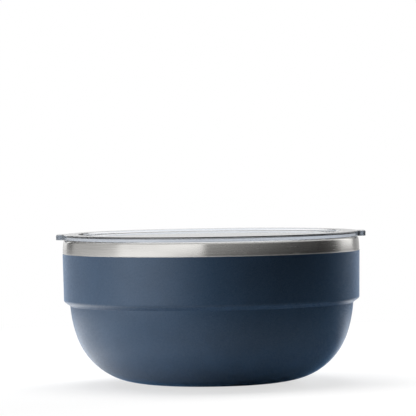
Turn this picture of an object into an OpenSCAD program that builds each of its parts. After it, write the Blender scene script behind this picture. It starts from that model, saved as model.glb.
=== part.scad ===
// Insulated stainless serving bowl with a clear drop-in lid.
// The bowl is a vacuum vessel: a drawn food liner inside a drawn outer shell, welded at the rim and at a
// pressed base plate. The lid plugs into the mouth on a silicone seal and lifts straight off by two tabs.
// All sizes are in millimetres. Z is up, the bowl stands on z = 0, and the lid's tabs point along X.

/* [Outer shell] */
// Widest diameter of the bowl, measured over the powder coat
bowl_d = 250; // [220:1:290]
// Height of the rim's flat land above the table
rim_h = 122.3; // [112:0.1:140]
// Sheet thickness of the outer shell
shell_t = 0.6; // [0.4:0.1:1]
// Height of the crease under the ledge, above the table
crease_h = 66.8; // [60:0.2:74]
// Radial width of the ledge between the lower and the upper wall
ledge_w = 5.2; // [4:0.1:9]
// Slope of the ledge's face above the horizontal, in degrees
ledge_slope = 36; // [20:1:60]
// Outside radius of the ledge's rounded edge
ledge_round_r = 2.5; // [1:0.1:3.4]
// Radius of the hollow bend in the crease
crease_r = 1; // [0.5:0.1:1.6]
// Draft of the upper wall, in degrees
wall_draft = 0.9; // [0.2:0.1:2]
// Diameter of the flat base
base_d = 95; // [90:0.5:102]
// Turn of the shallow arc next to the flat base, in degrees
sole_turn = 13; // [10:0.5:16]
// Radius of the round belly
belly_r = 57.5; // [48:0.5:66]
// Heading of the wall where the belly ends, in degrees from the horizontal
belly_heading = 71.5; // [66:0.5:77]
// Heading of the wall at the crease, in degrees from the horizontal
crease_heading = 85.3; // [83:0.1:88]
// Radius of the bare band's crown, seen in section
crown_r = 80; // [50:1:120]
// Turn of the crown past the wall's draft, in degrees
crown_turn = 7.9; // [5:0.1:9]
// Outside radius of the bend into the rim
lip_r = 1.6; // [1.2:0.1:2]
// Flat land that the shell gives the rim
shell_land_w = 0.9; // [0.5:0.1:1.4]

/* [Powder coat] */
// Thickness of the coat
coat_t = 0.15; // [0.08:0.01:0.3]
// Height of the bare steel band between the coat's edge and the rim
band_h = 11.4; // [8:0.1:16]

/* [Food liner] */
// Sheet thickness of the liner
liner_t = 0.6; // [0.4:0.1:1]
// Radial width of the rim, from the mouth to the widest steel
rim_w = 6.6; // [5.8:0.1:8]
// Radius of the bend from the mouth onto the rim
mouth_bend_r = 1.8; // [1.3:0.1:2.2]
// Height of the straight mouth that the seal works in
mouth_h = 12; // [10:0.5:16]
// Radius of the bend between the straight mouth and the drafted wall
mouth_blend_r = 60; // [30:1:90]
// Draft of the liner's wall, in degrees
liner_draft = 6; // [5:0.5:8]
// Radius of the liner's round belly
liner_belly_r = 60; // [50:1:66]
// Vacuum gap between the shell's flat base and the liner's floor
base_gap = 8; // [6:0.5:12]

/* [Base] */
// Flat steel left outside the base plate
seam_margin = 1.6; // [1:0.1:3]
// Width of the weld beads
weld_w = 0.4; // [0.3:0.1:0.8]
// Thickness of the base plate
plate_t = 0.6; // [0.4:0.1:1]
// Flat rim of the base plate outside the foot's groove
plate_rim_w = 1.4; // [1:0.1:3]
// How far the foot stands below the steel
foot_proud = 0.8; // [0.5:0.1:1.5]
// Thickness of the silicone foot
foot_t = 1.8; // [1.6:0.1:3]
// Width of the silicone foot
foot_w = 9; // [6:0.5:12]
// Chamfer on the foot's lower edges
foot_chamfer = 0.4; // [0.2:0.1:0.6]
// Side clearance of the foot in its groove
foot_clear = 0.4; // [0.2:0.1:0.8]
// Flat bead of steel inside the foot's groove
plate_bead_w = 2; // [1:0.1:4]
// Rise of the plate's centre panel
panel_rise = 1.4; // [1:0.1:2]
// Radius of the evacuation dimple
dimple_r = 5; // [4:0.1:7]
// Depth of the evacuation dimple
dimple_d = 1.6; // [1.4:0.1:2.4]
// Radius of the evacuation hole
vent_r = 0.8; // [0.5:0.1:1.2]
// Radius of the sealing bead
bead_r = 3; // [2:0.1:3.4]
// Thickness of the sealing bead under the hole
bead_t = 1.1; // [0.8:0.1:1.3]
// Overlap of the cover disc around the dimple
cover_lap = 6; // [4:0.5:9]
// Thickness of the cover disc
cover_t = 0.4; // [0.3:0.1:0.8]

/* [Getter] */
// Radius of the getter pellet
getter_r = 4; // [3:0.1:5]
// Height of the getter pellet
getter_t = 2; // [1.5:0.1:2.6]
// Width of the strap over the pellet
strap_w = 4; // [3:0.1:5]
// Thickness of the strap
strap_t = 0.3; // [0.2:0.1:0.4]
// Length of each welded foot of the strap
strap_foot = 3; // [2:0.1:4]
// Clearance between the strap and the pellet's side
strap_clear = 0.2; // [0.1:0.1:0.4]

/* [Lid] */
// How far the flange's edge lies inside the widest steel
flange_inset = 0.85; // [0.5:0.05:1.5]
// Height of the flange above the rim
flange_h = 4.8; // [4.6:0.1:7]
// Height of the bevel under the flange's edge
bevel_h = 0.6; // [0.3:0.1:1.5]
// Width of the bevel under the flange's edge
bevel_w = 0.6; // [0.3:0.1:1.5]
// Radius of the flange's upper edge
flange_edge_r = 0.8; // [0.4:0.1:1.2]
// Width of the raised ring around the recessed panel
flange_ring_w = 13; // [11:0.5:18]
// Depth of the recess in the lid's top
recess_d = 2.1; // [1:0.1:2.6]
// Radial run of the recess's sloped wall
recess_run = 1.2; // [0.6:0.1:2]
// Thickness of the lid's panel
lid_panel_t = 2.6; // [2:0.1:3.2]
// Gap between the plug and the mouth
plug_clear = 1.2; // [1:0.1:1.6]
// Wall thickness of the plug
plug_t = 3; // [2.4:0.1:3.6]
// Depth of the plug below the rim
plug_depth = 9.2; // [8.5:0.1:9.8]
// Chamfer on the plug's lower edge
plug_chamfer = 0.7; // [0.4:0.1:1]
// Distance that each tab reaches past the flange
tab_reach = 5.9; // [4.9:0.1:9]
// Width of each tab
tab_w = 26; // [20:1:40]
// Thickness of each tab at its tip
tab_t = 4.3; // [3.6:0.1:4.5]
// Thickness of each tab where it leaves the flange
tab_root_t = 4.5; // [4.3:0.1:4.7]
// Corner radius of each tab, seen from above
tab_corner_r = 3; // [2:0.1:4.4]
// Radius of the fillets between each tab and the flange, seen from above
tab_fillet_r = 3.5; // [2:0.1:6]
// Radius of the edges along each tab's tip
tab_edge_r = 0.8; // [0.4:0.1:1.2]

/* [Seal] */
// Distance from the rim down to the groove
groove_drop = 4.2; // [3:0.1:4.6]
// Height of the groove
groove_h = 3; // [2.4:0.1:3.4]
// Depth of the groove
groove_d = 1.4; // [1:0.1:1.7]
// Clearance of the seal in its groove
seal_fit = 0.1; // [0.05:0.05:0.2]
// Clearance between the seal's fins and the mouth
seal_clear = 0.3; // [0.2:0.05:0.4]
// Thickness of each of the seal's two fins at its root
fin_root = 1; // [0.7:0.1:1.2]
// Thickness of each fin at its tip
fin_tip = 0.4; // [0.3:0.1:0.6]

/* [Hidden] */
// Names of the separate pieces
// Length by which a cut runs past what it cuts
overrun = 1;
// Depth inside the flange's edge at which the tabs' fillets run out
fillet_sink = 0.1;
// Largest turn between two points of an arc, in degrees
arc_step = 4;
$fn = 180;

// Levels of the base
steel_z = foot_proud;
groove_ceiling_z = foot_t;
panel_z = steel_z + panel_rise;
dimple_z = panel_z + dimple_d;

// Outer shell, from the rim down
steel_r = bowl_d / 2 - coat_t;
wall_heading = 90 - wall_draft;
crown_heading = wall_heading + crown_turn;
lip_turn = 180 - crown_heading;
crown_start_z = rim_h - lip_r * (1 + cos(crown_heading)) - crown_r * (cos(wall_heading) - cos(crown_heading));
crown_start_r = steel_r - crown_r * (1 - sin(wall_heading));

// Ledge: a hollow bend, a sloped face and a rounded edge
ledge_bends_w = crease_r * (sin(crease_heading) - sin(ledge_slope))
              + ledge_round_r * (sin(wall_heading) - sin(ledge_slope));
ledge_bends_h = crease_r * (cos(ledge_slope) - cos(crease_heading))
              + ledge_round_r * (cos(ledge_slope) - cos(wall_heading));
ledge_face = (ledge_w - ledge_bends_w) / cos(ledge_slope);
ledge_top_z = crease_h + ledge_bends_h + ledge_face * sin(ledge_slope);
wall_length = (crown_start_z - ledge_top_z) / sin(wall_heading);

// Sole and flank: the two arcs on either side of the belly, which between them make up the width and the
// height that the belly leaves between the flat base and the crease
flat_r = base_d / 2;
crease_radius = crown_start_r - wall_length * cos(wall_heading) - ledge_w;
curve_w = crease_radius - flat_r - belly_r * (sin(belly_heading) - sin(sole_turn));
curve_h = crease_h - steel_z - belly_r * (cos(sole_turn) - cos(belly_heading));
sole_w_share = sin(sole_turn);
sole_h_share = 1 - cos(sole_turn);
flank_w_share = sin(crease_heading) - sin(belly_heading);
flank_h_share = cos(belly_heading) - cos(crease_heading);
arcs_share = sole_w_share * flank_h_share - sole_h_share * flank_w_share;
sole_r = (curve_w * flank_h_share - curve_h * flank_w_share) / arcs_share;
flank_r = (curve_h * sole_w_share - curve_w * sole_h_share) / arcs_share;

// Base seam, inside the flat
seam_r = flat_r - seam_margin;
plate_r = seam_r - weld_w;

// Rim land
shell_lip_r = steel_r - crown_r * (1 - sin(crown_heading)) - lip_r * sin(crown_heading);
rim_weld_out_r = shell_lip_r - shell_land_w;
rim_weld_in_r = rim_weld_out_r - weld_w;
coat_edge_z = rim_h - band_h;

// Food liner
mouth_r = steel_r - rim_w;
liner_heading = 90 - liner_draft;
floor_z = steel_z + shell_t + base_gap + liner_t;
mouth_bottom_z = rim_h - mouth_bend_r - mouth_h;
blend_bottom_z = mouth_bottom_z - mouth_blend_r * cos(liner_heading);
blend_bottom_r = mouth_r - mouth_blend_r * (1 - sin(liner_heading));
liner_belly_top_z = floor_z + liner_belly_r * (1 - cos(liner_heading));
liner_wall = (blend_bottom_z - liner_belly_top_z) / sin(liner_heading);
floor_r = blend_bottom_r - liner_wall * cos(liner_heading) - liner_belly_r * sin(liner_heading);

// Foot groove, counted inwards from the plate's edge, with its sides at 45 degrees
groove_depth = groove_ceiling_z - steel_z;
groove_out_r = plate_r - plate_rim_w;
foot_out_r = groove_out_r - groove_depth - foot_clear;
foot_in_r = foot_out_r - foot_w;
groove_in_r = foot_in_r - foot_clear - groove_depth;
bead_in_r = groove_in_r - plate_bead_w;
panel_r = bead_in_r - panel_rise;
cover_r = dimple_r + dimple_d + cover_lap;

// Getter, midway between the dimple and the edge of the plate's centre panel
getter_x = (dimple_r + dimple_d + panel_r) / 2;
getter_z = panel_z + plate_t;
strap_in_w = 2 * (getter_r + strap_clear);
strap_span = strap_in_w + 2 * (strap_t + strap_foot);

// Lid
lid_top_z = rim_h + flange_h;
flange_r = steel_r - flange_inset;
ring_in_r = flange_r - flange_ring_w;
recess_z = lid_top_z - recess_d;
lid_under_z = recess_z - lid_panel_t;
plug_r = mouth_r - plug_clear;
plug_in_r = plug_r - plug_t;
plug_z = rim_h - plug_depth;

// Tabs
tab_tip_x = flange_r + tab_reach;
tab_root_x = flange_r - flange_ring_w / 2;
fillet_r = min(tab_fillet_r, tab_reach - tab_corner_r);
fillet_run_out_r = flange_r - fillet_sink;
fillet_angle = asin((tab_w / 2 + fillet_r) / (fillet_run_out_r + fillet_r));
fillet_x = (fillet_run_out_r + fillet_r) * cos(fillet_angle);
fillet_span = 2 * fillet_run_out_r * sin(fillet_angle);

// Groove and seal
groove_top_z = rim_h - groove_drop;
groove_low_z = groove_top_z - groove_h;
groove_r = plug_r - groove_d;
fin_rise = seal_clear;
seal_in_r = groove_r + seal_fit;
seal_tip_r = mouth_r - seal_clear;

// A path is a list of [radius, height, heading]. A move is [length, 0] for a line and [radius, turn] for an arc
// that turns left where the turn is positive.
function arc_point(s, radius, turn) =
    [s[0] + sign(turn) * radius * (sin(s[2] + turn) - sin(s[2])),
     s[1] + sign(turn) * radius * (cos(s[2]) - cos(s[2] + turn)),
     s[2] + turn];
function move_end(s, m) =
    m[1] == 0 ? [s[0] + m[0] * cos(s[2]), s[1] + m[0] * sin(s[2]), s[2]] : arc_point(s, m[0], m[1]);
function move_points(s, m) =
    m[1] == 0 ? [s] :
    let (n = max(2, ceil(abs(m[1]) / arc_step)))
    [for (k = [0 : n - 1]) arc_point(s, m[0], m[1] * k / n)];
function trace(s, moves, i = 0) =
    i == len(moves) ? [s] :
    concat(move_points(s, moves[i]), trace(move_end(s, moves[i]), moves, i + 1));

// The path's points alone, the path moved to its left by a distance, and a list turned end to end
function points(path) = [for (p = path) [p[0], p[1]]];
function shifted(path, left) = [for (p = path) [p[0] - left * sin(p[2]), p[1] + left * cos(p[2])]];
function backwards(list) = [for (i = [len(list) - 1 : -1 : 0]) list[i]];

// Outside of the shell, from the base seam out, up and round onto the rim
shell_path = trace([seam_r, steel_z, 0], [
    [flat_r - seam_r, 0],
    [sole_r, sole_turn],
    [belly_r, belly_heading - sole_turn],
    [flank_r, crease_heading - belly_heading],
    [crease_r, ledge_slope - crease_heading],
    [ledge_face, 0],
    [ledge_round_r, wall_heading - ledge_slope],
    [wall_length, 0],
    [crown_r, crown_turn],
    [lip_r, lip_turn],
    [shell_land_w, 0]]);

// Food side of the liner, from the floor's centre out, up and round onto the rim
liner_path = trace([0, floor_z, 0], [
    [floor_r, 0],
    [liner_belly_r, liner_heading],
    [liner_wall, 0],
    [mouth_blend_r, liner_draft],
    [mouth_h, 0],
    [mouth_bend_r, -90],
    [rim_weld_in_r - mouth_r - mouth_bend_r, 0]]);

// Underside of the base plate, from its edge in to the evacuation hole
plate_points = [
    [plate_r, steel_z],
    [groove_out_r, steel_z],
    [groove_out_r - groove_depth, groove_ceiling_z],
    [groove_in_r + groove_depth, groove_ceiling_z],
    [groove_in_r, steel_z],
    [bead_in_r, steel_z],
    [panel_r, panel_z],
    [dimple_r + dimple_d, panel_z],
    [dimple_r, dimple_z],
    [vent_r, dimple_z]];

// A sheet between two distances to the left of a path, turned about Z
module turned_sheet(path, near, far) {
    rotate_extrude()
        polygon(concat(shifted(path, near), backwards(shifted(path, far))));
}

// A plain ring, turned about Z
module ring(r_in, r_out, z, h) {
    rotate_extrude()
        translate([r_in, z])
            square([r_out - r_in, h]);
}

module outer_shell() {
    color("lightgray")
        turned_sheet(shell_path, 0, shell_t);
}

// The coat covers the shell's outside up to a masked edge below the rim
module powder_coat() {
    color([0.16, 0.23, 0.32])
        rotate_extrude()
            difference() {
                polygon(concat(shifted(shell_path, -coat_t), backwards(shifted(shell_path, 0))));
                translate([0, coat_edge_z])
                    square([bowl_d, rim_h]);
            }
}

module inner_liner() {
    color("silver")
        turned_sheet(liner_path, -liner_t, 0);
}

module rim_weld() {
    color("gainsboro")
        ring(rim_weld_in_r, rim_weld_out_r, rim_h - min(shell_t, liner_t), min(shell_t, liner_t));
}

module base_plate() {
    color("lightgray")
        rotate_extrude()
            polygon(concat(plate_points, [for (p = backwards(plate_points)) p + [0, plate_t]]));
}

module base_weld() {
    color("gainsboro")
        ring(plate_r, seam_r, steel_z, min(shell_t, plate_t));
}

// Glass bead that closes the evacuation hole, with its stem in the hole
module vacuum_seal() {
    color("dimgray")
        union() {
            translate([0, 0, dimple_z - bead_t])
                cylinder(r = bead_r, h = bead_t);
            translate([0, 0, dimple_z - bead_t])
                cylinder(r = vent_r, h = bead_t + plate_t);
        }
}

module seal_cover() {
    color("lightgray")
        translate([0, 0, panel_z - cover_t])
            cylinder(r = cover_r, h = cover_t);
}

module getter_pellet() {
    color("slategray")
        translate([getter_x, 0, getter_z])
            cylinder(r = getter_r, h = getter_t);
}

// Strap bent over the pellet, with a foot spot-welded on each side of it
module getter_strap() {
    color("silver")
        translate([getter_x - strap_w / 2, 0, getter_z])
            rotate([90, 0, 90])
                linear_extrude(strap_w)
                    difference() {
                        union() {
                            translate([-strap_span / 2, 0])
                                square([strap_span, strap_t]);
                            translate([-strap_in_w / 2 - strap_t, 0])
                                square([strap_in_w + 2 * strap_t, getter_t + strap_t]);
                        }
                        translate([-strap_in_w / 2, -overrun])
                            square([strap_in_w, getter_t + overrun]);
                    }
}

module foot_ring() {
    color([0.2, 0.24, 0.3])
        rotate_extrude()
            polygon([
                [foot_in_r + foot_chamfer, 0],
                [foot_out_r - foot_chamfer, 0],
                [foot_out_r, foot_chamfer],
                [foot_out_r, foot_t],
                [foot_in_r, foot_t],
                [foot_in_r, foot_chamfer]]);
}

// One tab, seen from above: rounded outer corners, and fillets that run out just inside the flange's edge
module tab_outline() {
    half = concat(
        points(trace([tab_tip_x, 0, 90], [
            [tab_w / 2 - tab_corner_r, 0],
            [tab_corner_r, 90],
            [tab_tip_x - tab_corner_r - fillet_x, 0],
            [fillet_r, fillet_angle - 90]])),
        [[tab_root_x, fillet_span / 2]]);
    side = [for (i = [1 : len(half) - 1]) half[i]];
    polygon(concat(side, [for (p = backwards(side)) [p[0], -p[1]]]));
}

// One tab, seen from its side: level on top, thinner towards the tip, with the tip's edges rounded
module tab_profile() {
    polygon(concat(
        points(trace([tab_tip_x - tab_edge_r, lid_top_z - tab_t, 0], [
            [tab_edge_r, 90],
            [tab_t - 2 * tab_edge_r, 0],
            [tab_edge_r, 90]])),
        [[tab_root_x, lid_top_z],
         [tab_root_x, lid_top_z - tab_root_t],
         [flange_r, lid_top_z - tab_root_t]]));
}

module tab() {
    cut_w = fillet_span + 2 * overrun;
    intersection() {
        translate([0, 0, rim_h - overrun])
            linear_extrude(flange_h + 2 * overrun)
                tab_outline();
        translate([0, cut_w / 2, 0])
            rotate([90, 0, 0])
                linear_extrude(cut_w)
                    tab_profile();
    }
}

// Section of the lid: recessed panel, raised flange and grooved plug
module lid_section() {
    polygon(concat(
        [[0, lid_under_z],
         [plug_in_r, lid_under_z],
         [plug_in_r, plug_z],
         [plug_r - plug_chamfer, plug_z],
         [plug_r, plug_z + plug_chamfer],
         [plug_r, groove_low_z],
         [groove_r, groove_low_z],
         [groove_r, groove_top_z],
         [plug_r, groove_top_z],
         [plug_r, rim_h],
         [flange_r - bevel_w, rim_h],
         [flange_r, rim_h + bevel_h]],
        points(trace([flange_r, lid_top_z - flange_edge_r, 90], [[flange_edge_r, 90]])),
        [[ring_in_r + recess_run, lid_top_z],
         [ring_in_r, recess_z],
         [0, recess_z]]));
}

module lid_panel() {
    color([0.82, 0.87, 0.93, 0.45])
        union() {
            rotate_extrude()
                lid_section();
            for (turn = [0, 180])
                rotate([0, 0, turn])
                    tab();
        }
}

// Silicone ring in the plug's groove, with two fins that wipe the mouth
module lid_seal() {
    fin_levels = [groove_low_z + seal_fit, groove_top_z - seal_fit - fin_root];
    color([0.86, 0.88, 0.9])
        rotate_extrude()
            union() {
                translate([seal_in_r, groove_low_z + seal_fit])
                    square([plug_r - seal_in_r, groove_h - 2 * seal_fit]);
                for (z = fin_levels)
                    polygon([
                        [seal_in_r, z],
                        [plug_r, z],
                        [seal_tip_r, z + fin_rise],
                        [seal_tip_r, z + fin_rise + fin_tip],
                        [plug_r, z + fin_root],
                        [seal_in_r, z + fin_root]]);
            }
}

outer_shell();
powder_coat();
inner_liner();
rim_weld();
base_plate();
base_weld();
vacuum_seal();
seal_cover();
getter_pellet();
getter_strap();
foot_ring();
lid_panel();
lid_seal();
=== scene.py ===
import math
import bpy
import numpy as np
from mathutils import Matrix, Vector


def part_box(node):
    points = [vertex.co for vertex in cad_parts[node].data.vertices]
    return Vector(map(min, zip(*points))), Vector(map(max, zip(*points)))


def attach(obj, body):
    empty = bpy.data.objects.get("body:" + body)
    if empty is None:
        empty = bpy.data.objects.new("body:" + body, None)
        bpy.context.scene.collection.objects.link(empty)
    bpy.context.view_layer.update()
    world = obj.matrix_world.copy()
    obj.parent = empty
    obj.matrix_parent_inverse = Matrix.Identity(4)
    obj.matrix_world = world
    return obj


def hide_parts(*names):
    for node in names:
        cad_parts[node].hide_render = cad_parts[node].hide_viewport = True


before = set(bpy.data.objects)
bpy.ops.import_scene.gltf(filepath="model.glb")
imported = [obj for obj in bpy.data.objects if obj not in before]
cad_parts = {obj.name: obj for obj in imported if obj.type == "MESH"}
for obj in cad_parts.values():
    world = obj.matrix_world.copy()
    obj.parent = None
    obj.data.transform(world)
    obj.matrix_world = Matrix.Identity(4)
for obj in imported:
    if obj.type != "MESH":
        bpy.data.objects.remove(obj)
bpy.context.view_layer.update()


# Outer shell: the outside wall of the vacuum vessel, one sheet of stainless steel. It is drawn and spun to
# shape, with an overhanging ledge pressed into the wall, and its bare band under the rim is brushed round
# the bowl. Its cut edge is bent in to make half of the rim.
def trace(start, moves, turn_step=3):
    """Points and headings along a path of straight lines and arcs, from a start of (across, up, heading in
    degrees). A move of (length, 0) is a line. A move of (radius, turn) is an arc: turning left from heading
    a to b it adds radius times (sin b - sin a) across and radius times (cos a - cos b) up, and turning right
    it takes them away."""
    stretches = []
    here = np.array([start[0], start[1], math.radians(start[2])])
    for size, turn in moves:
        if turn:
            steps = max(2, math.ceil(abs(turn) / turn_step))
            heading = here[2] + math.radians(turn) * np.arange(steps + 1) / steps
            reach = math.copysign(size, turn)
            across = here[0] + reach * (np.sin(heading) - math.sin(here[2]))
            up = here[1] + reach * (math.cos(here[2]) - np.cos(heading))
        else:
            heading = np.full(2, here[2])
            across = here[0] + size * np.cos(heading) * np.arange(2)
            up = here[1] + size * np.sin(heading) * np.arange(2)
        stretch = np.stack([across, up, heading], axis=1)
        stretches.append(stretch[:-1])
        here = stretch[-1]
    return np.concatenate(stretches + [here[None]])


def moved_left(path, distance):
    """The path moved sideways: a point with heading h goes by the distance along (-sin h, cos h)."""
    left = np.stack([-np.sin(path[:, 2]), np.cos(path[:, 2]), np.zeros(len(path))], axis=1)
    return path + distance * left


def backwards(path):
    """The path from its end to its start, with its headings turned round."""
    return path[::-1] + np.array([0, 0, math.pi])


def cut_edge(path, thickness, edge_r):
    """The sheet's cut edge at the path's end: half a turn to the left with two rounded corners. Its first
    and last points are the ends of the sheet's two faces, so they are left out."""
    across, up, heading = path[-1]
    corner = (edge_r, 90)
    flat = (thickness - 2 * edge_r, 0)
    return trace((across, up, math.degrees(heading)), [corner, flat, corner], turn_step=30)[1:-1]


def skin(name, points, normals, loop):
    """A closed surface over a grid of rows and columns, as points and outward normals. The last column joins
    the first. The last row joins the first where loop is true, and otherwise the first and last rows are one
    point each, closed by a fan of triangles."""
    rows = points[:] if loop else points[1:-1]
    index = np.arange(rows.shape[0] * rows.shape[1]).reshape(rows.shape[:2])
    beside = np.roll(index, -1, axis=1)
    if loop:
        above, across = np.roll(index, -1, axis=0), np.roll(beside, -1, axis=0)
        quads = np.stack([index, beside, across, above], axis=-1).reshape(-1, 4)
        fans = np.zeros((0, 3), int)
        corners, directions = points.reshape(-1, 3), normals.reshape(-1, 3)
    else:
        quads = np.stack([index[:-1], beside[:-1], beside[1:], index[1:]], axis=-1).reshape(-1, 4)
        first, last = np.full(index.shape[1], index.size), np.full(index.shape[1], index.size + 1)
        fans = np.concatenate([np.stack([first, beside[0], index[0]], axis=-1),
                               np.stack([last, index[-1], beside[-1]], axis=-1)])
        corners = np.concatenate([rows.reshape(-1, 3), points[[0, -1], 0]])
        directions = np.concatenate([normals[1:-1].reshape(-1, 3), normals[[0, -1], 0]])
    sizes = np.repeat([4, 3], [len(quads), len(fans)])
    mesh = bpy.data.meshes.new(name)
    mesh.vertices.add(len(corners))
    mesh.vertices.foreach_set("co", corners.astype(np.float32).ravel())
    mesh.loops.add(sizes.sum())
    mesh.loops.foreach_set("vertex_index", np.concatenate([quads.ravel(), fans.ravel()]).astype(np.int32))
    mesh.polygons.add(len(sizes))
    mesh.polygons.foreach_set("loop_start", np.concatenate([[0], np.cumsum(sizes)[:-1]]).astype(np.int32))
    mesh.update(calc_edges=True)
    mesh.validate()
    mesh.shade_smooth()
    mesh.normals_split_custom_set_from_vertices(directions)
    piece = bpy.data.objects.new(name, mesh)
    bpy.context.scene.collection.objects.link(piece)
    return piece


def turned(name, outline, steps=360):
    """A surface of revolution. The outline goes anticlockwise round the section as (radius, height, heading),
    and each point (r, z) is carried round Z to (r cos t, r sin t, z). Its outward normal is (sin h, -cos h),
    carried round alike. An outline that starts and ends on the axis is closed there."""
    turn = 2 * math.pi * np.arange(steps) / steps
    around = np.stack([np.cos(turn), np.sin(turn), np.zeros(steps)], axis=1)
    up = np.array([0, 0, 1])
    radius, height, heading = (outline[:, k, None, None] for k in range(3))
    points = radius * around + height * up
    normals = np.sin(heading) * around - np.cos(heading) * up
    return skin(name, points, normals, loop=outline[0, 0] > 0)


def add(tree, kind, inputs, **settings):
    """A new node. Each input is named or numbered, and given a value or the socket that feeds it."""
    new = tree.nodes.new(kind)
    for key, value in settings.items():
        setattr(new, key, value)
    for key, value in inputs.items():
        if isinstance(value, bpy.types.NodeSocket):
            tree.links.new(value, new.inputs[key])
        else:
            new.inputs[key].default_value = value
    return new


def blank_material(name):
    """An empty node material, its tree, the place in object coordinates and its output node."""
    material = bpy.data.materials.new(name)
    material.use_nodes = True
    tree = material.node_tree
    tree.nodes.clear()
    place = add(tree, "ShaderNodeTexCoord", {}).outputs["Object"]
    output = add(tree, "ShaderNodeOutputMaterial", {})
    return material, tree, place, output


def noise(tree, place, scale, detail, roughness=0.5):
    """Noise from 0 to 1 over a place, with about scale blobs to the metre and detail finer layers on them."""
    return add(tree, "ShaderNodeTexNoise", {
        "Vector": place, "Scale": scale, "Detail": detail, "Roughness": roughness}).outputs["Fac"]


def ranged(tree, value, start, end, low, high, **settings):
    """A number that goes from low to high while the value goes from start to end, and stops there."""
    return add(tree, "ShaderNodeMapRange", {
        0: value, 1: start, 2: end, 3: low, 4: high}, **settings).outputs[0]


def by_noise(tree, grain, low, high):
    """A number that follows a noise: low where that is 0.3 or less, and high where it is 0.7 or more."""
    return ranged(tree, grain, 0.3, 0.7, low, high)


def scaled(tree, color, factor):
    """A colour times a number."""
    return add(tree, "ShaderNodeVectorMath", {0: color, "Scale": factor}, operation="SCALE").outputs[0]


def combined(tree, operation, first, second):
    """Two numbers put together by a Math node: their sum, their product or the larger one."""
    return add(tree, "ShaderNodeMath", {0: first, 1: second}, operation=operation).outputs[0]


def mixed(tree, share, first, second):
    """The first number, with a share of the second in its place."""
    return add(tree, "ShaderNodeMix", {0: share, 2: first, 3: second}, data_type="FLOAT").outputs[0]


def mixed_color(tree, share, first, second):
    """The first colour, with a share of the second in its place."""
    return add(tree, "ShaderNodeMix", {0: share, 6: first, 7: second}, data_type="RGBA").outputs[2]


def brushed_steel(name, color, roughness, pitch, grain_length, streak, highlight_ring_z=0):
    """Steel with fine lines running round Z. The pattern is noise over (x, y, s), where s is the height plus
    the radius, so that the lines stay level on a wall and turn into rings on a floor. It is stretched so that
    a line is grain_length long and pitch wide, and it drives colour, roughness and bump. Below the ring's
    given height the steel is matt, and its paler colour there is a painted highlight: a light line along the
    band's lower edge, just above the coat."""
    line_swing, wear_swing = 0.04, 0.015
    # The ring at the foot of the band is matt, and its paler colour is a painted highlight.
    painted_highlight_color, highlight_ring_roughness, highlight_ring_blur = (0.86, 0.85, 0.83, 1), 0.6, 0.0003
    material, tree, place, output = blank_material(name)
    parts = add(tree, "ShaderNodeSeparateXYZ", {0: place}).outputs
    flat = add(tree, "ShaderNodeCombineXYZ", {0: parts[0], 1: parts[1]}).outputs[0]
    radius = add(tree, "ShaderNodeVectorMath", {0: flat}, operation="LENGTH").outputs["Value"]
    along = combined(tree, "ADD", radius, parts[2])
    spread = add(tree, "ShaderNodeCombineXYZ", {0: parts[0], 1: parts[1], 2: along}).outputs[0]
    stretched = add(tree, "ShaderNodeMapping", {
        0: spread, "Scale": (1 / grain_length, 1 / grain_length, 1 / pitch)}).outputs[0]
    lines = noise(tree, stretched, scale=1.0, detail=4.0, roughness=0.6)
    cloud = noise(tree, place, scale=22.0, detail=3.0)
    shade = ranged(tree, lines, 0.25, 0.75, 1 - streak, 1.0)
    fine = ranged(tree, lines, 0.25, 0.75, roughness - line_swing, roughness + line_swing)
    rough = combined(tree, "ADD", fine, by_noise(tree, cloud, -wear_swing, wear_swing))
    # Mask of the painted highlight ring below the given height.
    highlight_ring = ranged(tree, parts[2], highlight_ring_z - highlight_ring_blur, highlight_ring_z + highlight_ring_blur, 1.0, 0.0)
    relief = add(tree, "ShaderNodeBump", {"Strength": 0.25, "Distance": pitch / 60, "Height": lines})
    round_about = add(tree, "ShaderNodeVectorMath", {0: (0, 0, 1), 1: place}, operation="CROSS_PRODUCT")
    grain = add(tree, "ShaderNodeVectorMath", {0: round_about.outputs[0]}, operation="NORMALIZE")
    shader = add(tree, "ShaderNodeBsdfPrincipled", {
        "Base Color": mixed_color(tree, highlight_ring, scaled(tree, color, shade), painted_highlight_color),
        "Roughness": mixed(tree, highlight_ring, rough, highlight_ring_roughness), "Metallic": 1.0,
        "Anisotropic": 0.92, "Anisotropic Rotation": 0.25,
        "Tangent": grain.outputs[0], "Normal": relief.outputs[0]})
    tree.links.new(shader.outputs[0], output.inputs[0])
    return material


rim_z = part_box("outer_shell")[1].z
steel_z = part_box("outer_shell")[0].z
coat_proud = 0.00014
steel_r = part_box("powder_coat")[1].x - coat_proud
sheet_t = 0.0006
sheet_edge_r = 0.00012
seam_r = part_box("base_weld")[1].x
seam_flat_w = 0.0016
flat_r = seam_r + seam_flat_w
crease_z, crease_r = 0.0668, 0.001
ledge_w, ledge_slope, ledge_round_r = 0.0052, 36, 0.0025
wall_draft = 0.9
wall_heading = 90 - wall_draft
sole_turn, belly_r, belly_heading, crease_heading = 13, 0.0575, 71.5, 85.3
crown_r, crown_turn = 0.08, 7.9
lip_r, land_w = 0.0016, 0.0009


def sine(angle):
    """The sine of an angle in degrees."""
    return math.sin(math.radians(angle))


def cosine(angle):
    """The cosine of an angle in degrees."""
    return math.cos(math.radians(angle))


def arc_across(radius, start, end):
    """How far across an arc goes from one heading to another, in degrees: r (sin end - sin start)."""
    return radius * (sine(end) - sine(start))


def arc_up(radius, start, end):
    """How far up an arc goes from one heading to another, in degrees: r (cos start - cos end)."""
    return radius * (cosine(start) - cosine(end))


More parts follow.
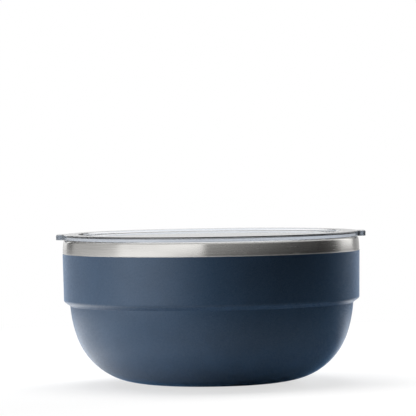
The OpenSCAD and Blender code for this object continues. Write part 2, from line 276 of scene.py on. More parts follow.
# The profile runs up the outside: flat seam, sole, belly, flank, crease, ledge, wall, crown, lip and land.
# The wall's length follows from the heights, and the radii of sole and flank from where the crease has to be.
crown_heading = wall_heading + crown_turn
crown_start_z = rim_z - arc_up(lip_r, crown_heading, 180) - arc_up(crown_r, wall_heading, crown_heading)
crown_start_r = steel_r - arc_across(crown_r, wall_heading, 90)
ledge_bends_w = (arc_across(crease_r, ledge_slope, crease_heading)
                 + arc_across(ledge_round_r, ledge_slope, wall_heading))
ledge_bends_h = (arc_up(crease_r, ledge_slope, crease_heading)
                 + arc_up(ledge_round_r, ledge_slope, wall_heading))
ledge_face = (ledge_w - ledge_bends_w) / cosine(ledge_slope)
ledge_top_z = crease_z + ledge_bends_h + ledge_face * sine(ledge_slope)
wall_length = (crown_start_z - ledge_top_z) / sine(wall_heading)
crease_radius = crown_start_r - wall_length * cosine(wall_heading) - ledge_w
sole_r, flank_r = np.linalg.solve(
    [[arc_across(1, 0, sole_turn), arc_across(1, belly_heading, crease_heading)],
     [arc_up(1, 0, sole_turn), arc_up(1, belly_heading, crease_heading)]],
    [crease_radius - flat_r - arc_across(belly_r, sole_turn, belly_heading),
     crease_z - steel_z - arc_up(belly_r, sole_turn, belly_heading)])
body_moves = [
    (sole_r, sole_turn),
    (belly_r, belly_heading - sole_turn),
    (flank_r, crease_heading - belly_heading),
    (crease_r, ledge_slope - crease_heading),
    (ledge_face, 0),
    (ledge_round_r, wall_heading - ledge_slope),
    (wall_length, 0)]
shell_face = trace((seam_r + sheet_edge_r, steel_z, 0), [
    (flat_r - seam_r - sheet_edge_r, 0),
    *body_moves,
    (crown_r, crown_turn),
    (lip_r, 180 - crown_heading),
    (land_w - sheet_edge_r, 0)])
shell_back = backwards(moved_left(shell_face, sheet_t))
shell = turned("shell_sheet", np.concatenate([
    shell_face, cut_edge(shell_face, sheet_t, sheet_edge_r),
    shell_back, cut_edge(shell_back, sheet_t, sheet_edge_r)]))
coat_edge_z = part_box("powder_coat")[1].z
# The painted highlight ring on the shell's band reaches this far above the coat's edge.
highlight_ring_past_coat = 0.0007
shell.data.materials.append(brushed_steel(
    "brushed_steel", (0.62, 0.61, 0.59), roughness=0.25, pitch=0.0007, grain_length=0.03, streak=0.14,
    highlight_ring_z=coat_edge_z + highlight_ring_past_coat))
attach(shell, "bowl")
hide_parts("outer_shell")


# Powder coat: a satin slate-navy skin, sprayed and baked on the shell's outside. It is masked off in a
# straight line below the rim, so it ends in a small rounded step, and it runs down under the base.
coat_t = 0.00015
coat_edge_r = 0.0001
coat_color = (0.043, 0.086, 0.155)
edge_heading = math.degrees(math.acos(cosine(wall_heading) - (coat_edge_z - crown_start_z) / crown_r))
coated_path = trace((seam_r, steel_z, 0), [
    (flat_r - seam_r, 0),
    *body_moves,
    (crown_r, edge_heading - wall_heading)])
coat_face = moved_left(coated_path, -coat_t)
coat_back = backwards(coated_path)


def coat_step(path):
    """The coat's edge at the path's end: a rounded outer corner, then straight in to the steel."""
    across, up, heading = path[-1]
    return trace((across, up - coat_edge_r, math.degrees(heading)), [(coat_edge_r, 90)], turn_step=15)


coat = turned("powder_coat_skin", np.concatenate([coat_face[:-1], coat_step(coat_face), coat_back]))


def satin_powder_coat(name, color):
    """Baked powder paint: the colour with a faint mottle, a soft orange-peel wave a few millimetres long,
    and a fine grain of a third of a millimetre in colour, roughness and bump."""
    material, tree, place, output = blank_material(name)
    mottle = noise(tree, place, scale=60.0, detail=4.0)
    peel = noise(tree, place, scale=420.0, detail=2.0)
    grain = noise(tree, place, scale=2800.0, detail=2.0)
    shade = combined(tree, "MULTIPLY", by_noise(tree, mottle, 0.95, 1.05), by_noise(tree, grain, 0.94, 1.06))
    wave = add(tree, "ShaderNodeBump", {"Strength": 0.5, "Distance": 0.00001, "Height": peel}).outputs[0]
    relief = add(tree, "ShaderNodeBump", {"Strength": 0.5, "Distance": 0.000006, "Height": grain,
                                          "Normal": wave}).outputs[0]
    shader = add(tree, "ShaderNodeBsdfPrincipled", {
        "Base Color": scaled(tree, color, shade), "Roughness": by_noise(tree, grain, 0.24, 0.31), "IOR": 1.5,
        "Sheen Weight": 0.35, "Sheen Roughness": 0.3, "Sheen Tint": (0.25, 0.5, 0.9, 1), "Normal": relief})
    tree.links.new(shader.outputs[0], output.inputs[0])
    return material


coat.data.materials.append(satin_powder_coat("satin_powder_coat", coat_color))
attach(coat, "bowl")
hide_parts("powder_coat")


# Food liner: the inside wall of the vessel, a second drawn sheet of stainless steel. It is spun to a satin
# finish, its straight mouth takes the lid's seal, and its lip bends out to meet the shell's on the rim.
liner_t = 0.0006
weld_in_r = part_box("inner_liner")[1].x
liner_under_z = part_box("inner_liner")[0].z
rim_w = 0.0066
mouth_r = steel_r - rim_w
mouth_bend_r, mouth_h, mouth_blend_r = 0.0018, 0.012, 0.06
liner_draft, liner_belly_r = 6, 0.06
liner_heading = 90 - liner_draft
floor_z = liner_under_z + liner_t
blend_bottom_z = rim_z - mouth_bend_r - mouth_h - mouth_blend_r * cosine(liner_heading)
blend_bottom_r = mouth_r - mouth_blend_r * (1 - sine(liner_heading))
liner_wall = (blend_bottom_z - floor_z - liner_belly_r * (1 - cosine(liner_heading))) / sine(liner_heading)
floor_r = blend_bottom_r - liner_wall * cosine(liner_heading) - liner_belly_r * sine(liner_heading)
ring_step_r = 0.01
floor_moves = [(ring_step_r, 0)] * int(floor_r / ring_step_r)
liner_face = trace((0, floor_z, 0), [
    *floor_moves,
    (floor_r - ring_step_r * len(floor_moves), 0),
    (liner_belly_r, liner_heading),
    (liner_wall, 0),
    (mouth_blend_r, liner_draft),
    (mouth_h, 0),
    (mouth_bend_r, -90),
    (weld_in_r - mouth_r - mouth_bend_r - sheet_edge_r, 0)], turn_step=2)
liner_back = moved_left(liner_face, -liner_t)
liner = turned("liner_sheet", np.concatenate([
    liner_back, cut_edge(liner_back, liner_t, sheet_edge_r), backwards(liner_face)]))
liner.data.materials.append(brushed_steel(
    "satin_steel", (0.64, 0.63, 0.62), roughness=0.33, pitch=0.0009, grain_length=0.05, streak=0.1))
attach(liner, "bowl")
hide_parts("inner_liner")


# Weld beads: the two rings where the vessel is closed. The upper one joins shell and liner in the middle of
# the rim and is ground flush. The lower one joins the base plate and keeps its fine ripple.
def rounded(corners, radii, turn_step=15):
    """An outline through the corners, each rounded to its radius: an arc of radius r that turns by a starts
    r tan(a / 2) before its corner and ends as far past it. A corner whose radius is None is left out, and
    only gives its neighbours their direction. Gives points and headings."""
    corners = np.asarray(corners, float)
    ahead = np.roll(corners, -1, axis=0) - corners
    headings = np.arctan2(ahead[:, 1], ahead[:, 0])
    before = np.roll(headings, 1)
    turns = (headings - before + math.pi) % (2 * math.pi) - math.pi
    outline = []
    for corner, radius, heading, turn in zip(corners, radii, before, turns):
        if radius is None:
            continue
        trim = radius * math.tan(abs(turn) / 2)
        start = corner - trim * np.array([math.cos(heading), math.sin(heading)])
        arc = trace((*start, math.degrees(heading)), [(radius, math.degrees(turn))], turn_step)
        outline.append(arc)
    return np.concatenate(outline)


def box_corners(low_r, high_r, low_z, high_z):
    """The four corners of an upright section, anticlockwise from the inner lower one."""
    return [(low_r, low_z), (high_r, low_z), (high_r, high_z), (low_r, high_z)]


bead_edge_r = 0.00008
weld_out_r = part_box("rim_weld")[1].x
plate_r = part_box("base_plate")[1].x
rim_bead = turned("rim_weld_bead", rounded(
    box_corners(weld_in_r, weld_out_r, rim_z - sheet_t, rim_z), [bead_edge_r] * 4, turn_step=30))
base_bead = turned("base_weld_bead", rounded(
    box_corners(plate_r, seam_r, steel_z, steel_z + sheet_t), [bead_edge_r] * 4, turn_step=30))


def ground_weld(name, color, heat_tint, ripple_pitch):
    """Weld metal: a fine ripple, a heat tint in soft patches and a face that is rough in places."""
    material, tree, place, output = blank_material(name)
    patches = noise(tree, place, scale=90.0, detail=3.0)
    ripple = noise(tree, place, scale=1 / ripple_pitch, detail=1.0)
    relief = add(tree, "ShaderNodeBump", {"Strength": 0.6, "Distance": 0.00004, "Height": ripple}).outputs[0]
    shader = add(tree, "ShaderNodeBsdfPrincipled", {
        "Base Color": mixed_color(tree, patches, color, heat_tint), "Metallic": 1.0,
        "Roughness": by_noise(tree, ripple, 0.3, 0.5), "Normal": relief})
    tree.links.new(shader.outputs[0], output.inputs[0])
    return material


weld_metal = ground_weld(
    "weld_metal", (0.6, 0.59, 0.57, 1), heat_tint=(0.5, 0.43, 0.33, 1), ripple_pitch=0.0006)
for bead, node in ((rim_bead, "rim_weld"), (base_bead, "base_weld")):
    bead.data.materials.append(weld_metal)
    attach(bead, "bowl")
    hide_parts(node)


# Base plate: a pressed disc of thin steel that closes the vacuum space from below. It has a groove for the
# foot, a flat bead, a raised middle and a dimple with the evacuation hole, and all its bends are rounded.
plate_t = 0.0006
groove_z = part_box("foot_ring")[1].z
panel_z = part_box("seal_cover")[1].z
dimple_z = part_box("base_plate")[1].z - plate_t
groove_depth = groove_z - steel_z
edge_land_w, bead_w = 0.0014, 0.002
foot_w, foot_play = 0.009, 0.0004
groove_out_r = plate_r - edge_land_w
foot_out_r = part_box("foot_ring")[1].x
foot_in_r = foot_out_r - foot_w
groove_in_r = foot_in_r - foot_play - groove_depth
bead_in_r = groove_in_r - bead_w
panel_r = bead_in_r - (panel_z - steel_z)
dimple_r = 0.005
dimple_top_r = dimple_r + dimple_z - panel_z
vent_r = 0.0008
plate_bend_r = 0.0006
plate_under = [
    (vent_r, dimple_z), (dimple_r, dimple_z), (dimple_top_r, panel_z), (panel_r, panel_z),
    (bead_in_r, steel_z), (groove_in_r, steel_z), (groove_in_r + groove_depth, groove_z),
    (groove_out_r - groove_depth, groove_z), (groove_out_r, steel_z), (plate_r, steel_z)]
plate_over = [(radius, height + plate_t) for radius, height in reversed(plate_under)]
plate_bends = [bead_edge_r] + [plate_bend_r] * (len(plate_under) - 2) + [bead_edge_r]
plate = turned("base_plate_sheet", rounded(plate_under + plate_over, plate_bends + plate_bends), steps=240)
plate.data.materials.append(brushed_steel(
    "pressed_steel", (0.6, 0.6, 0.59), roughness=0.36, pitch=0.0011, grain_length=0.02, streak=0.08))
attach(plate, "bowl")
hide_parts("base_plate")


# Vacuum seal and its cover: a bead of dark solder glass melts over the evacuation hole in the furnace, and
# a thin steel disc is bonded over the dimple to protect it. The bead keeps the frame's shape.
cover_low, cover_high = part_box("seal_cover")
cover_edges_r = [None, 0.00015, 0.00008, None]
cover_rim = rounded(box_corners(0, cover_high.x, cover_low.z, cover_high.z), cover_edges_r)
cover = turned("seal_cover_disc", np.concatenate([
    [(0, cover_low.z, 0)], cover_rim, [(0, cover_high.z, math.pi)]]), steps=120)
cover.data.materials.append(brushed_steel(
    "disc_steel", (0.6, 0.6, 0.59), roughness=0.28, pitch=0.0005, grain_length=0.012, streak=0.1))
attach(cover, "bowl")
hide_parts("seal_cover")


def dress(node, material):
    """Gives a piece of the frame a better material."""
    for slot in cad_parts[node].material_slots:
        slot.material = material


def plain_finish(name, color, roughness, metallic, grain_scale, grain_depth):
    """One colour broken up by a noise that also roughens and dents the surface."""
    rough_swing = 0.06
    material, tree, place, output = blank_material(name)
    grain = noise(tree, place, grain_scale, detail=4.0)
    rough = by_noise(tree, grain, roughness - rough_swing, roughness + rough_swing)
    relief = add(tree, "ShaderNodeBump", {"Strength": 0.5, "Distance": grain_depth, "Height": grain})
    shader = add(tree, "ShaderNodeBsdfPrincipled", {
        "Base Color": scaled(tree, color, by_noise(tree, grain, 0.85, 1.1)), "Metallic": metallic,
        "Roughness": rough, "Normal": relief.outputs[0]})
    tree.links.new(shader.outputs[0], output.inputs[0])
    return material


dress("vacuum_seal", plain_finish(
    "solder_glass", (0.16, 0.17, 0.18), roughness=0.14, metallic=0.0, grain_scale=700.0, grain_depth=0.00002))


# Getter: a sintered pellet that soaks up stray gas, held on the inside of the base plate by a thin strap
# that is bent over it and spot-welded at both ends. Both are shut in, and keep the frame's shapes.
dress("getter_pellet", plain_finish(
    "sintered_metal", (0.22, 0.22, 0.23), roughness=0.62, metallic=0.6, grain_scale=1800.0,
    grain_depth=0.0001))
dress("getter_strap", plain_finish(
    "strap_steel", (0.6, 0.6, 0.59), roughness=0.34, metallic=1.0, grain_scale=900.0,
    grain_depth=0.00001))


# Foot: a flat ring of dark silicone in the base plate's groove, moulded with rounded edges. The bowl stands
# on it, so it doesn't slide or scratch.
foot_edges_r = [0.0007, 0.0007, 0.0002, 0.0002]
foot_section = rounded(box_corners(foot_in_r, foot_out_r, 0, groove_z), foot_edges_r)
foot = turned("silicone_foot", foot_section, steps=240)
foot.data.materials.append(plain_finish(
    "dark_silicone", (0.05, 0.06, 0.08), roughness=0.6, metallic=0.0, grain_scale=1500.0,
    grain_depth=0.00003))
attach(foot, "bowl")
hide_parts("foot_ring")


# Lid: one thick moulding of clear, slightly cool plastic. Its recessed panel sits inside a raised flange that
# rests on the rim, a grooved plug drops into the mouth, and two tabs reach past the rim to lift it by.
rest_gap = 0.00005
lid_low, lid_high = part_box("lid_panel")
lid_top_z, plug_z, tab_tip_x = lid_high.z, lid_low.z, lid_high.x
flange_inset, flange_ring_w = 0.00085, 0.013
recess_run, recess_depth, panel_t = 0.0012, 0.0021, 0.0026
plug_play, plug_wall_t = 0.0012, 0.003
groove_drop, groove_h, seal_groove_depth = 0.0042, 0.003, 0.0014
bevel_w, bevel_h = 0.0006, 0.0006
flange_r = steel_r - flange_inset
ring_in_r = flange_r - flange_ring_w
recess_z = lid_top_z - recess_depth
lid_under_z = recess_z - panel_t
plug_r = mouth_r - plug_play
plug_in_r = plug_r - plug_wall_t
groove_top_z = rim_z - groove_drop
groove_low_z = groove_top_z - groove_h
groove_r = plug_r - seal_groove_depth
tab_w, tab_t, tab_root_t = 0.026, 0.0043, 0.0045
tab_corner_r, tab_fillet_r = 0.003, 0.0029
upper_edge_r, lower_edge_r, knee_trim = 0.0008, 0.0002, 0.0001
# The painted shade on the lid's upper shoulder fades in over this height below the rounded edge.
shade_band_h = 0.001
flange_step = 1


def lid_outline():
    """The lid's edge seen from above, as points and outward normals. One quarter goes from the middle of a
    tab's tip round its corner, along its side, through a fillet that bends the other way and on round the
    flange's circle. The other quarters mirror it."""
    fillet_angle = math.degrees(math.asin((tab_w / 2 + tab_fillet_r) / (flange_r + tab_fillet_r)))
    fillet_x = (flange_r + tab_fillet_r) * cosine(fillet_angle)
    half_tip = tab_w / 2 - tab_corner_r
    quarter = np.concatenate([
        trace((tab_tip_x, 0, 90), [
            *[(half_tip / 4, 0)] * 4,
            (tab_corner_r, 90),
            (tab_tip_x - tab_corner_r - fillet_x, 0),
            (tab_fillet_r, fillet_angle - 90)], turn_step=9)[:-1],
        trace((flange_r * cosine(fillet_angle), flange_r * sine(fillet_angle), 90 + fillet_angle), [
            (flange_r, 90 - fillet_angle)], turn_step=flange_step)])
    edge = np.stack([quarter[:, 0], quarter[:, 1], np.sin(quarter[:, 2]), -np.cos(quarter[:, 2])], axis=1)
    half = np.concatenate([edge, edge[-2::-1] * (-1, 1, -1, 1)])
    whole = np.concatenate([half, half[-2:0:-1] * (1, -1, 1, -1)])
    return whole[:, :2], whole[:, 2:]


edge_xy, edge_normal = lid_outline()
columns = len(edge_xy)
edge_radius = np.hypot(*edge_xy.T)
column_out = edge_xy / edge_radius[:, None]
flat_up = np.array([0, 0, 1])


def in_space(flat):
    """Flat vectors with a height of zero added."""
    return np.concatenate([flat, np.zeros((len(flat), 1))], axis=1)


def circle_rows(path):
    """Rows on plain circles: each point (r, z) of the section is carried to every column's direction, with
    the direction in which the section runs there."""
    radius, height, heading = (path[:, k, None, None] for k in range(3))
    out = in_space(column_out)
    return radius * out + height * flat_up, np.cos(heading) * out + np.sin(heading) * flat_up


def bend_rows(corner, before, after, trim, steps=4):
    """Rows round a corner that differs from column to column, along unit directions before and after it: the
    curve (1 - t)^2 a + 2 t (1 - t) corner + t^2 b, from a, a trim before the corner, to b, a trim past it."""
    t = (np.arange(steps + 1) / steps)[:, None, None]
    points = corner + trim * (t * t * after - (1 - t) ** 2 * before)
    return points, (1 - t) * before + t * after


def unit(vectors):
    """Vectors of length one."""
    return vectors / np.linalg.norm(vectors, axis=-1, keepdims=True)


small_r, tiny_r = 0.0004, 0.00015
lower_edges_r = [None, 0.001, 0.0008, 0.0007, tiny_r, small_r, small_r, tiny_r, tiny_r, tiny_r, None]
upper_edges_r = [None, 0.0004, 0.0008, None]
rest_z = rim_z + rest_gap
bevel_foot_r = flange_r - bevel_w
lower_section = rounded(
    [(0, lid_under_z), (plug_in_r, lid_under_z), (plug_in_r, plug_z), (plug_r, plug_z),
     (plug_r, groove_low_z), (groove_r, groove_low_z), (groove_r, groove_top_z), (plug_r, groove_top_z),
     (plug_r, rest_z), (bevel_foot_r, rest_z), (flange_r, rim_z + bevel_h)],
    lower_edges_r)
upper_section = rounded(
    [(flange_r, lid_top_z), (ring_in_r + recess_run, lid_top_z), (ring_in_r, recess_z), (0, recess_z)],
    upper_edges_r)

# The underside leaves the bevel at a knee and runs out to the edge's lower corner. Along the flange it stays
# on the bevel's line, and along a tab it is the tab's underside, which rises a little towards the tip.
bevel_slope = math.atan2(rim_z + bevel_h - rest_z, bevel_w)
knee_z = lid_top_z - tab_root_t
knee_r = bevel_foot_r + (knee_z - rest_z) / math.tan(bevel_slope)
tab_share = np.clip((edge_radius - flange_r) / tab_fillet_r, 0, 1)
tab_share = tab_share * tab_share * (3 - 2 * tab_share)
tab_way = np.clip((np.abs(edge_xy[:, 0]) - flange_r) / (tab_tip_x - flange_r), 0, 1)
tab_under_z = lid_top_z - tab_root_t + (tab_root_t - tab_t) * tab_way
edge_low_z = (1 - tab_share) * (rim_z + bevel_h) + tab_share * tab_under_z
bevel_way = circle_rows(np.array([[knee_r, knee_z, bevel_slope]]))
knee, along_bevel = bevel_way[0][0], bevel_way[1][0]
low_corner = np.concatenate([edge_xy, edge_low_z[:, None]], axis=1)
under_way = unit(low_corner - knee)
inward = in_space(-edge_normal)
high_corner = np.concatenate([edge_xy, np.full((columns, 1), lid_top_z)], axis=1)
turn = np.radians(np.arange(0, 91, 15))[:, None, None]
edge_centre = high_corner - upper_edge_r * (flat_up - inward)
upper_bend = (edge_centre + upper_edge_r * (np.sin(turn) * flat_up - np.cos(turn) * inward),
              np.cos(turn) * flat_up + np.sin(turn) * inward)
# A row this far below the upper bend, where the painted shade on the shoulder begins.
band_row = ((high_corner - (upper_edge_r + shade_band_h) * flat_up)[None],
            np.broadcast_to(flat_up, (1, columns, 3)))
sections = [
    circle_rows(lower_section),
    bend_rows(knee, along_bevel, under_way, knee_trim),
    bend_rows(low_corner, under_way, flat_up, lower_edge_r),
    band_row,
    upper_bend,
    circle_rows(upper_section)]
row_points = np.concatenate([np.broadcast_to(points, (len(points), columns, 3)) for points, _ in sections])
row_ways = np.concatenate([np.broadcast_to(ways, (len(ways), columns, 3)) for _, ways in sections])
column_ways = np.roll(row_points, -1, axis=1) - np.roll(row_points, 1, axis=1)
row_normals = unit(np.cross(column_ways, row_ways))
under_pole = np.broadcast_to((0, 0, lid_under_z), (1, columns, 3))
upper_pole = np.broadcast_to((0, 0, recess_z), (1, columns, 3))
pole_normal = np.broadcast_to(flat_up, (1, columns, 3))
lid = skin("clear_lid", np.concatenate([under_pole, row_points, upper_pole]),
           np.concatenate([-pole_normal, row_normals, pole_normal]), loop=False)


def mark_edge(piece, name):
    """Stores how deep each point lies in the lid's tinted edge, as a vector of the flange side's share, the
    tab side's and the shoulder's, where the shoulder's is the share of a painted shade, a dark line along the
    upper rounded edge. Going up the edge, the side's share rises as t over the lower corner, stays 1 up the
    face and falls as cos(t) squared over the upper bend. The shoulder's painted shade is 0 up the face and
    min(1, 2 cos(t)) over the bend. The tab's part of the side's share rises from 0 to 1 over the fillet at
    its root. The shoulder's painted shade falls to 0 towards the tabs, over a fifth of the flange's radius."""
    clear_from, clear_over = 0.95, 0.2
    counts = [len(points) for points, _ in sections]
    corner_t = np.linspace(0, 1, counts[2])
    side = np.concatenate([np.zeros(counts[0] + counts[1]), corner_t, np.ones(counts[3]),
                           np.cos(turn[:, 0, 0]) ** 2, np.zeros(counts[5])])
    shoulder_shade = np.concatenate([np.zeros(sum(counts[:4])), np.minimum(1, 2 * np.cos(turn[:, 0, 0])),
                               np.zeros(counts[5])])
    past = np.clip((np.abs(edge_xy[:, 0]) - flange_r + tab_fillet_r) / tab_fillet_r, 0, 1)
    fade = np.clip((clear_from - np.abs(edge_xy[:, 0]) / flange_r) / clear_over, 0, 1)
    shares = np.stack([side[:, None] * (1 - past), side[:, None] * past,
                       shoulder_shade[:, None] * fade], axis=-1).reshape(-1, 3)
    poles = np.zeros((2, 3))
    values = piece.data.attributes.new(name, "FLOAT_VECTOR", "POINT")
    values.data.foreach_set("vector", np.concatenate([shares, poles]).astype(np.float32).ravel())


mark_edge(lid, "edge_shares")


def clear_plastic(name, panel_tint, side_tint, tab_tint, painted_shade_tint, tab_haze, tab_roughness, shadow_tint):
    """Clear moulded plastic: a glassy surface with a very soft ripple and faint wiping marks. The thick edge
    and, past the flange, the tabs take more red than blue out of the light than the panel does. Along the
    rounded shoulder of the upper edge, a near-black tint is painted shade: a dark line where the edge turns
    over. A share of the light that meets a tab's side is scattered. Light that goes straight through to a
    lamp is only tinted, so the shadow stays pale."""
    material, tree, place, output = blank_material(name)
    ripple = noise(tree, place, scale=45.0, detail=1.0)
    wiped = add(tree, "ShaderNodeMapping", {0: place, "Rotation": (0, 0, 0.6), "Scale": (40, 700, 200)})
    marks = noise(tree, wiped.outputs[0], scale=1.0, detail=3.0)
    rough = ranged(tree, marks, 0.45, 0.8, 0.02, 0.06)
    relief = add(tree, "ShaderNodeBump", {"Strength": 0.3, "Distance": 0.00003, "Height": ripple})
    zones = add(tree, "ShaderNodeAttribute", {}, attribute_name="edge_shares").outputs["Vector"]
    side, tab, shoulder_shade = add(tree, "ShaderNodeSeparateXYZ", {0: zones}).outputs
    tint = mixed_color(tree, side, panel_tint, side_tint)
    tint = mixed_color(tree, tab, tint, tab_tint)
    # The shoulder's near-black tint is painted shade along the lid's upper edge.
    tint = mixed_color(tree, shoulder_shade, tint, painted_shade_tint)
    shader = add(tree, "ShaderNodeBsdfPrincipled", {
        "Base Color": tint, "Roughness": mixed(tree, tab, rough, tab_roughness), "IOR": 1.53,
        "Transmission Weight": ranged(tree, tab, 0.0, 1.0, 1.0, 1 - tab_haze), "Normal": relief.outputs[0]})
    path = add(tree, "ShaderNodeLightPath", {})
    passing = add(tree, "ShaderNodeBsdfTransparent", {"Color": shadow_tint})
    mix = add(tree, "ShaderNodeMixShader", {
        0: path.outputs["Is Shadow Ray"], 1: shader.outputs[0], 2: passing.outputs[0]})
    tree.links.new(mix.outputs[0], output.inputs[0])
    return material


# The near-black shoulder tint is painted shade, a dark line along the lid's upper edge.
lid.data.materials.append(clear_plastic(
    "clear_plastic", (0.97, 0.98, 0.99, 1), side_tint=(0.5, 0.54, 0.6, 1), tab_tint=(0.36, 0.41, 0.48, 1),
    painted_shade_tint=(0.02, 0.022, 0.025, 1), tab_haze=0.45, tab_roughness=0.4,
    shadow_tint=(0.82, 0.85, 0.88, 1)))
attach(lid, "lid")
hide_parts("lid_panel")


# Lid seal: a ring of translucent grey silicone in the plug's groove. Its two thin fins lean upwards and wipe
# the bowl's mouth as the lid goes in.
seal_low, seal_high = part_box("lid_seal")
seal_play = 0.0001
seal_in_r = groove_r + seal_play
seal_tip_r = seal_high.x
fin_root, fin_tip, fin_rise = 0.001, 0.0004, 0.0003
seal_edges_r = [0.0002, 0.0003, 0.00012, 0.00015, 0.0002, 0.0002, 0.00012, 0.00015, 0.0003, 0.0002]
upper_fin_z = seal_high.z - fin_root
seal = turned("seal_ring", rounded(
    [(seal_in_r, seal_low.z), (plug_r, seal_low.z), (seal_tip_r, seal_low.z + fin_rise),
     (seal_tip_r, seal_low.z + fin_rise + fin_tip), (plug_r, seal_low.z + fin_root), (plug_r, upper_fin_z),
     (seal_tip_r, upper_fin_z + fin_rise), (seal_tip_r, upper_fin_z + fin_rise + fin_tip),
     (plug_r, seal_high.z), (seal_in_r, seal_high.z)],
    seal_edges_r))


def clear_silicone(name, color):
    """Milky silicone: light soaks a little way in and comes out softened, and the skin is faintly matt."""
    material, tree, place, output = blank_material(name)
    grain = noise(tree, place, scale=900.0, detail=3.0)
    relief = add(tree, "ShaderNodeBump", {"Strength": 0.4, "Distance": 0.00002, "Height": grain})
    shader = add(tree, "ShaderNodeBsdfPrincipled", {
        "Base Color": color, "Roughness": by_noise(tree, grain, 0.35, 0.5), "Subsurface Weight": 0.35,
        "Subsurface Radius": (0.002, 0.0016, 0.0014), "Subsurface Scale": 1.0, "Normal": relief.outputs[0]})
    tree.links.new(shader.outputs[0], output.inputs[0])
    return material


seal.data.materials.append(clear_silicone("grey_silicone", (0.62, 0.65, 0.68, 1)))
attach(seal, "lid")
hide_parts("lid_seal")


# Camera: a long lens a little above the rim's level, looking along +Y. The photograph was taken with the
# camera turned very slightly, so the bowl's right side stands a little higher in it.
camera_place = Vector((-0.002, -2.839, 0.211))
camera_aim = Vector((-0.002, 0, 0.1476))
camera_roll = 0.86
camera_data = bpy.data.cameras.new("photo_camera")
camera_data.lens = 291.8
camera_data.sensor_width = 36
camera_data.clip_start = 0.05
camera = bpy.data.objects.new("photo_camera", camera_data)
look = (camera_aim - camera_place).to_track_quat("-Z", "Y").to_matrix()
camera.rotation_euler = (look @ Matrix.Rotation(math.radians(-camera_roll), 3, "Z")).to_euler()
camera.location = camera_place
bpy.context.scene.collection.objects.link(camera)
bpy.context.scene.camera = camera


# Floor: a large pale table top that takes the bowl's soft shadow. Further out it turns into plain white for
# the camera and through the clear lid, and reflections see the greys of the studio on it.
floor_drop = 0.00005
floor_size = 12.0
floor_corners = np.array([(-1, -1, 0), (1, -1, 0), (1, 1, 0), (-1, 1, 0)]) * floor_size
floor_corners[:, 2] = -floor_drop
floor_mesh = bpy.data.meshes.new("floor")
floor_mesh.from_pydata(floor_corners.tolist(), [], [(0, 1, 2, 3)])
floor = bpy.data.objects.new("floor", floor_mesh)
bpy.context.scene.collection.objects.link(floor)


# How bright the studio looks in reflections, given as (azimuth in degrees, grey): its walls, with the
# softboxes and the dark side, the floor far from the bowl, and the floor near it.
band_greys = [
    (-180, 0.78), (-172, 0.8), (-168, 1.7), (-153, 1.8), (-151, 0.0), (-138, 0.0), (-135, 0.6), (-80, 0.62),
    (-75, 1.2), (-66, 1.15), (-45, 1.35), (-27, 1.7), (-18, 1.85), (-7, 1.85), (-4.5, 0.47), (6, 0.48),
    (32, 0.29), (52, 0.17), (74, 0.1), (96, 0.06), (107, 0.1), (112, 0.15), (118, 0.7), (125, 1.6),
    (142, 2.1), (146, 0.4), (170, 0.5)]
broad_greys = [
    (-180, 0.8), (-158, 0.62), (-134, 0.52), (-98, 0.8), (-82, 1.1), (-66, 1.75), (-46, 1.7), (-32, 1.15),
    (-18, 0.3), (-8, 0.02), (60, 0.01), (96, 0.03), (118, 0.02), (136, 0.16), (158, 0.45), (170, 0.6)]
# The near floor's greys are painted light and shade: bright on the left and behind where the lamps fall, dark
# to the front right in the bowl's shadow.
near_greys = [
    (-180, 1.3), (-140, 1.55), (-110, 1.3), (-75, 1.3), (-50, 0.95), (-33, 0.75), (-18, 0.55), (-3, 0.3),
    (10, 0.14), (32, 0.02), (106, 0.03), (124, 0.6), (140, 1.35)]


def room_walls(tree, way, greys):
    """The greys round the bowl, as a colour over a direction or a place. The azimuth is counted in degrees
    from the camera's side, to the right. The gradient runs once round Z, and its seam is turned to the right,
    so an azimuth stands on the ramp at 0.75 plus its share of a turn."""
    turned_round = add(tree, "ShaderNodeMapping", {0: way, "Rotation": (0, 0, math.pi)})
    share = add(tree, "ShaderNodeTexGradient", {0: turned_round.outputs[0]}, gradient_type="RADIAL")
    walls = add(tree, "ShaderNodeValToRGB", {0: share.outputs["Fac"]})
    stops = sorted(((0.75 + azimuth / 360) % 1, grey) for azimuth, grey in greys)
    ramp = walls.color_ramp
    for number, (where, grey) in enumerate(stops):
        stop = ramp.elements[number] if number < 2 else ramp.elements.new(where)
        stop.position = where
        stop.color = (grey, grey, grey, 1)
    return walls.outputs["Color"]


def light_path(tree):
    """Two numbers of 0 or 1: whether a ray comes straight from the camera or through the clear lid, and
    whether it is a reflection."""
    path = add(tree, "ShaderNodeLightPath", {}).outputs
    seen = combined(tree, "MAXIMUM", path["Is Camera Ray"], path["Is Transmission Ray"])
    return seen, path["Is Glossy Ray"]


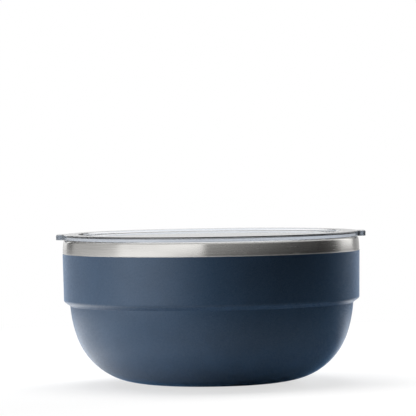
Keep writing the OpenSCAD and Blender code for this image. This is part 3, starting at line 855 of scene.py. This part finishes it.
def pale_floor(name, camera_fade, bounce_fade, contact_shadow, afar, glow, albedo):
    """White plaster that is lit near the bowl. Each pair is a first and a second distance from the middle, in
    metres. For the camera and through the lid, the plaster turns to even white over camera_fade, and glow is
    the least share of white anywhere. Stray light sees it turn black over bounce_fade. Reflections see no
    plaster but painted light and shade on the floor: a painted shadow, black under the bowl, that lightens
    over the contact pair into the near greys, and the broad ones from afar on."""
    material, tree, place, output = blank_material(name)
    distance = add(tree, "ShaderNodeVectorMath", {0: place}, operation="LENGTH").outputs["Value"]
    seen, glossy = light_path(tree)
    for_camera = ranged(tree, distance, *camera_fade, 0.0, 1.0, interpolation_type="SMOOTHSTEP")
    for_bounces = ranged(tree, distance, *bounce_fade, 0.0, 1.0, interpolation_type="SMOOTHSTEP")
    for_others = mixed(tree, glossy, for_bounces, 1.0)
    share = mixed(tree, seen, for_others, combined(tree, "MAXIMUM", for_camera, glow))
    # Painted shadow: reflections see the floor black under the bowl, lightening outwards into the near greys.
    near = scaled(tree, room_walls(tree, place, near_greys), ranged(tree, distance, *contact_shadow, 0.0, 1.0))
    broad = room_walls(tree, place, broad_greys)
    greys = mixed_color(tree, ranged(tree, distance, *afar, 0.0, 1.0), near, broad)
    shown = mixed_color(tree, seen, scaled(tree, greys, glossy), (1, 1, 1, 1))
    plaster = add(tree, "ShaderNodeBsdfDiffuse", {"Color": (albedo, albedo, albedo, 1)})
    glowing = add(tree, "ShaderNodeEmission", {"Color": shown, "Strength": 1.0})
    mix = add(tree, "ShaderNodeMixShader", {0: share, 1: plaster.outputs[0], 2: glowing.outputs[0]})
    tree.links.new(mix.outputs[0], output.inputs[0])
    return material


floor_mesh.materials.append(pale_floor(
    "pale_floor", camera_fade=(0.15, 0.9), bounce_fade=(0.12, 0.35), contact_shadow=(0.07, 0.13), afar=(0.25, 0.7),
    glow=0.66, albedo=0.92))


# Studio light: a key softbox low on the left, a weaker one high on the left, one overhead, and two from
# behind that light the edges. Reflections don't see the lamps, but the studio's greys in their place.
def softbox(name, azimuth, elevation, distance, size, radiance):
    """A rectangular lamp that faces the bowl. The azimuth is counted from the camera's side, to the right.
    A lamp of area A and radiance L gives off a power of pi times A times L. Reflections see the walls of the
    room in its place."""
    lamp = bpy.data.lights.new(name, "AREA")
    lamp.shape = "RECTANGLE"
    lamp.size, lamp.size_y = size
    lamp.energy = math.pi * size[0] * size[1] * radiance
    box = bpy.data.objects.new(name, lamp)
    out = Vector((sine(azimuth) * cosine(elevation), -cosine(azimuth) * cosine(elevation), sine(elevation)))
    target = Vector((0, 0, 0.08))
    box.location = target + distance * out
    box.rotation_euler = out.to_track_quat("Z", "Y").to_euler()
    box.visible_camera = False
    box.visible_glossy = False
    box.visible_transmission = False
    bpy.context.scene.collection.objects.link(box)


softbox("key_softbox", azimuth=-68, elevation=7, distance=2.2, size=(1.0, 0.7), radiance=12.5)
softbox("left_top_softbox", azimuth=-85, elevation=60, distance=1.8, size=(1.2, 1.2), radiance=2.6)
softbox("top_softbox", azimuth=180, elevation=80, distance=1.8, size=(1.2, 1.2), radiance=5.3)
softbox("right_back_softbox", azimuth=138, elevation=10, distance=2.2, size=(1.4, 1.6), radiance=10.0)
softbox("left_back_softbox", azimuth=-150, elevation=10, distance=2.2, size=(0.8, 1.6), radiance=5.0)


def studio_world(name, ambient, ceiling, table_edge, walls_end):
    """White for the camera and through the lid, and a low ambient light for plain light. Reflections see the
    broad greys below table_edge, the walls' greys above it, and an even ceiling above walls_end. Each of the
    two is a pair of heights between which one turns into the other, as the upward part of the direction."""
    world = bpy.data.worlds.new(name)
    world.use_nodes = True
    tree = world.node_tree
    tree.nodes.clear()
    way = add(tree, "ShaderNodeTexCoord", {}).outputs["Generated"]
    height = add(tree, "ShaderNodeSeparateXYZ", {0: way}).outputs[2]
    walls = mixed_color(tree, ranged(tree, height, *table_edge, 0.0, 1.0),
                        room_walls(tree, way, broad_greys), room_walls(tree, way, band_greys))
    overhead = ranged(tree, height, *walls_end, 0.0, 1.0)
    room = mixed_color(tree, overhead, walls, (ceiling, ceiling, ceiling, 1))
    seen, glossy = light_path(tree)
    dim = mixed_color(tree, glossy, (ambient, ambient, ambient, 1), room)
    shown = mixed_color(tree, seen, dim, (1, 1, 1, 1))
    background = add(tree, "ShaderNodeBackground", {"Color": shown, "Strength": 1.0})
    output = add(tree, "ShaderNodeOutputWorld", {})
    tree.links.new(background.outputs[0], output.inputs[0])
    world.cycles.sampling_method = "NONE"
    return world


bpy.context.scene.world = studio_world(
    "studio", ambient=0.025, ceiling=0.8, table_edge=(0.005, 0.035), walls_end=(0.4, 0.75))
bpy.context.scene.view_settings.view_transform = "Standard"
bpy.context.scene.cycles.max_bounces = 64
bpy.context.scene.cycles.transmission_bounces = 64
